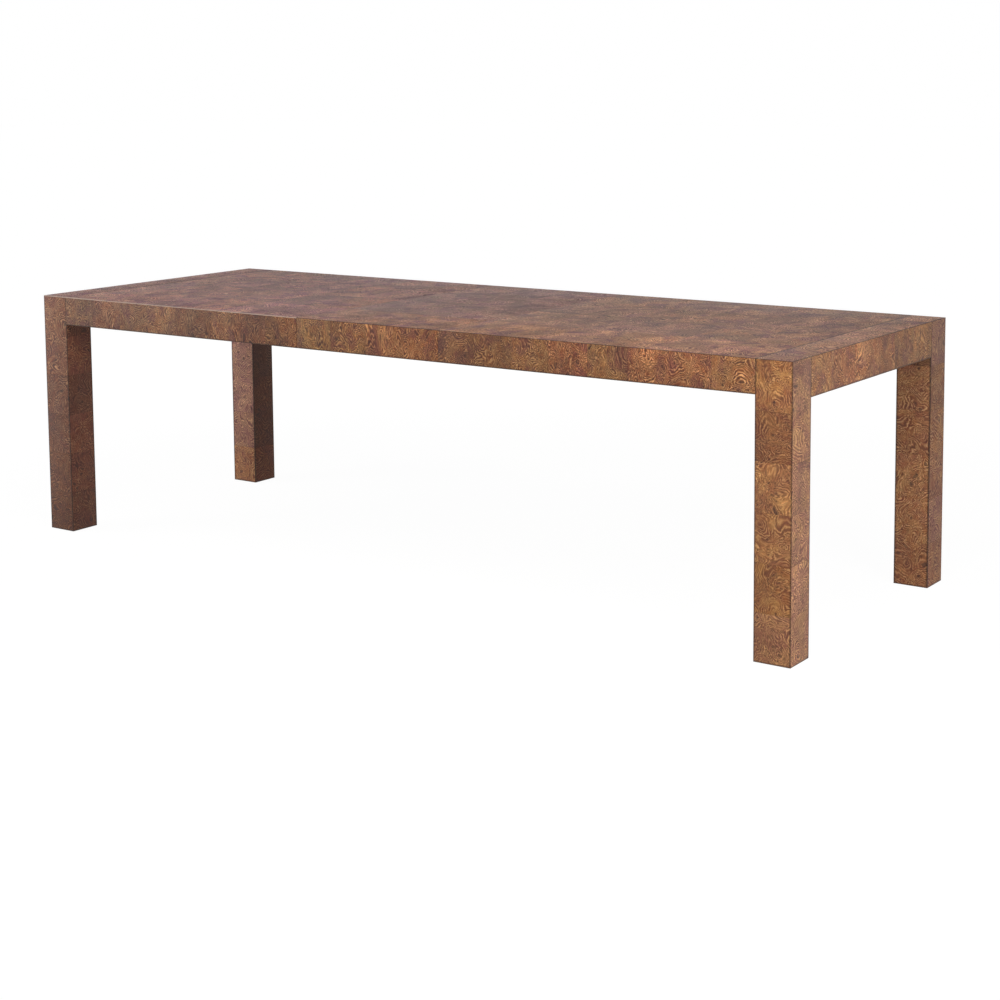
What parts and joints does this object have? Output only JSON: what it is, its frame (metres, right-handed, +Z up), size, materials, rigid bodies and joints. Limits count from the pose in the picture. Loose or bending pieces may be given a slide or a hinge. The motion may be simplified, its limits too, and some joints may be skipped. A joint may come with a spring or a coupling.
{
  "type": "parsons dining table",
  "caption": "Rectangular extension dining table with square block legs flush at the corners, burl veneered top and aprons, a drop-in leaf and geared wooden slides.",
  "frame": {"origin": "on the floor under the middle of the table, with the leaf in place", "axes": "+X along the length, +Y from the front to the back, +Z up"},
  "size_m": [2.6416, 0.9652, 0.762],
  "materials": {
    "burl_veneer": "stained burl under satin lacquer",
    "board": "fibreboard, sealed",
    "hardwood": "planed maple, waxed",
    "steel": "zinc plated",
    "brass": "turned",
    "nylon": "moulded"
  },
  "bodies": {
    "left_half": {"back_left_leg_core": "board", "back_left_leg_veneer": "burl_veneer", "front_left_leg_core": "board", "front_left_leg_veneer": "burl_veneer", "left_apron_veneer": "burl_veneer", "left_back_apron": "board", "left_corner_blocks": "hardwood", "left_corner_bolts": "steel", "left_dowels": "hardwood", "left_end_apron": "board", "left_front_apron": "board", "left_glide_nails": "steel", "left_glides": "nylon", "left_glue_blocks": "hardwood", "left_lock_bases": "steel", "left_pin_bushings": "brass", "left_racks_and_stops": "brass", "left_screws": "steel", "left_slide_rails": "hardwood", "left_top_core": "board", "left_top_veneer": "burl_veneer"},
    "right_half": {"back_right_leg_core": "board", "back_right_leg_veneer": "burl_veneer", "front_right_leg_core": "board", "front_right_leg_veneer": "burl_veneer", "right_alignment_pins": "brass", "right_apron_veneer": "burl_veneer", "right_back_apron": "board", "right_corner_blocks": "hardwood", "right_corner_bolts": "steel", "right_dowels": "hardwood", "right_end_apron": "board", "right_front_apron": "board", "right_glide_nails": "steel", "right_glides": "nylon", "right_glue_blocks": "hardwood", "right_keepers": "steel", "right_racks_and_stops": "brass", "right_screws": "steel", "right_slide_rails": "hardwood", "right_top_core": "board", "right_top_veneer": "burl_veneer"},
    "leaf": {"leaf_alignment_pins": "brass", "leaf_apron_veneer": "burl_veneer", "leaf_aprons": "board", "leaf_glue_blocks": "hardwood", "leaf_lock_fittings": "steel", "leaf_pin_bushings": "brass", "leaf_screws": "steel", "leaf_top_core": "board", "leaf_top_veneer": "burl_veneer"},
    "centre_rails": {"centre_rail_tongues": "hardwood", "centre_rails": "hardwood", "pinion_axles": "steel"},
    "front_pinion": {"front_pinion": "brass"},
    "back_pinion": {"back_pinion": "brass"},
    "left_front_lock_lever": {"left_front_lock_lever": "steel"},
    "left_back_lock_lever": {"left_back_lock_lever": "steel"},
    "leaf_front_lock_lever": {"leaf_front_lock_lever": "steel"},
    "leaf_back_lock_lever": {"leaf_back_lock_lever": "steel"}
  },
  "joints": [
    {"name": "right_half_slide", "type": "slide", "parent": "left_half", "child": "right_half", "axis": [1, 0, 0], "range_m": [0, 0.1016]},
    {"name": "leaf_slide", "type": "slide", "parent": "left_half", "child": "leaf", "axis": [1, 0, 0], "range_m": [0, 0.0508]},
    {"name": "centre_rail_slide", "type": "slide", "parent": "left_half", "child": "centre_rails", "axis": [1, 0, 0], "range_m": [0, 0.0508]},
    {"name": "front_pinion_turn", "type": "hinge", "parent": "centre_rails", "child": "front_pinion", "pos_m": [0, -0.23, 0.706], "axis": [0, 0, 1], "range_deg": [-162, 1]},
    {"name": "back_pinion_turn", "type": "hinge", "parent": "centre_rails", "child": "back_pinion", "pos_m": [0, 0.23, 0.706], "axis": [0, 0, 1], "range_deg": [-162, 1]},
    {"name": "left_front_lock_turn", "type": "hinge", "parent": "left_half", "child": "left_front_lock_lever", "pos_m": [-0.286, -0.335, 0.7382], "axis": [0, 0, 1], "range_deg": [0, 90]},
    {"name": "left_back_lock_turn", "type": "hinge", "parent": "left_half", "child": "left_back_lock_lever", "pos_m": [-0.286, 0.335, 0.7382], "axis": [0, 0, -1], "range_deg": [0, 90]},
    {"name": "leaf_front_lock_turn", "type": "hinge", "parent": "leaf", "child": "leaf_front_lock_lever", "pos_m": [0.222, -0.335, 0.7382], "axis": [0, 0, 1], "range_deg": [0, 90]},
    {"name": "leaf_back_lock_turn", "type": "hinge", "parent": "leaf", "child": "leaf_back_lock_lever", "pos_m": [0.222, 0.335, 0.7382], "axis": [0, 0, -1], "range_deg": [0, 90]}
  ],
  "couplings": [
    {"joint": "leaf_slide", "follows": "right_half_slide", "ratio": 0.5},
    {"joint": "centre_rail_slide", "follows": "right_half_slide", "ratio": 0.5},
    {"joint": "front_pinion_turn", "follows": "right_half_slide", "rad_per_m": -27.778},
    {"joint": "back_pinion_turn", "follows": "right_half_slide", "rad_per_m": -27.778}
  ]
}
